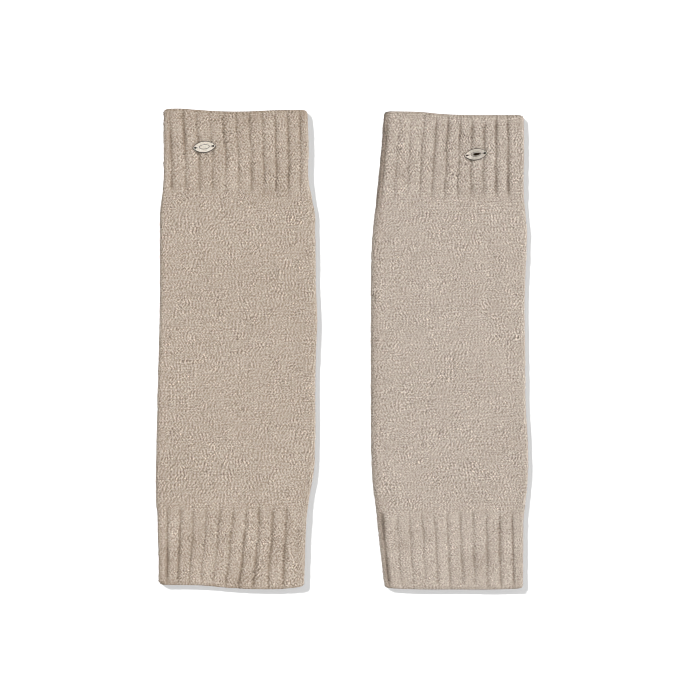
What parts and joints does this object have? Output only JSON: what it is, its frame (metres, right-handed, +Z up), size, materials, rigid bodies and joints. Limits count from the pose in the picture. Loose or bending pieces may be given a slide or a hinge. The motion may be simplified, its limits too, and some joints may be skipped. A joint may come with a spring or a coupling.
{
  "type": "pair of knitted leg warmers laid flat",
  "caption": "Pair of long knitted leg warmers laid flat side by side: plain knit tubes with deep ribbed cuffs at both ends and a small metal plate on each upper cuff.",
  "frame": {"origin": "on the surface that the pair lies on, under the middle of the pair's bounding box", "axes": "+Z up from the surface, +Y along both leg warmers towards their upper cuffs, +X from the left one to the right one"},
  "size_m": [0.349, 0.4507, 0.0091],
  "materials": {
    "left_knit": "thick brushed wool-blend knit, warm beige melange",
    "right_knit": "thick brushed wool-blend knit, slightly cooler beige melange",
    "plate_metal": "polished pale warm metal"
  },
  "bodies": {
    "root": {"left_upper_cuff": "left_knit", "left_leg": "left_knit", "left_lower_cuff": "left_knit", "left_plate": "plate_metal", "right_upper_cuff": "right_knit", "right_leg": "right_knit", "right_lower_cuff": "right_knit", "right_plate": "plate_metal"}
  },
  "joints": []
}
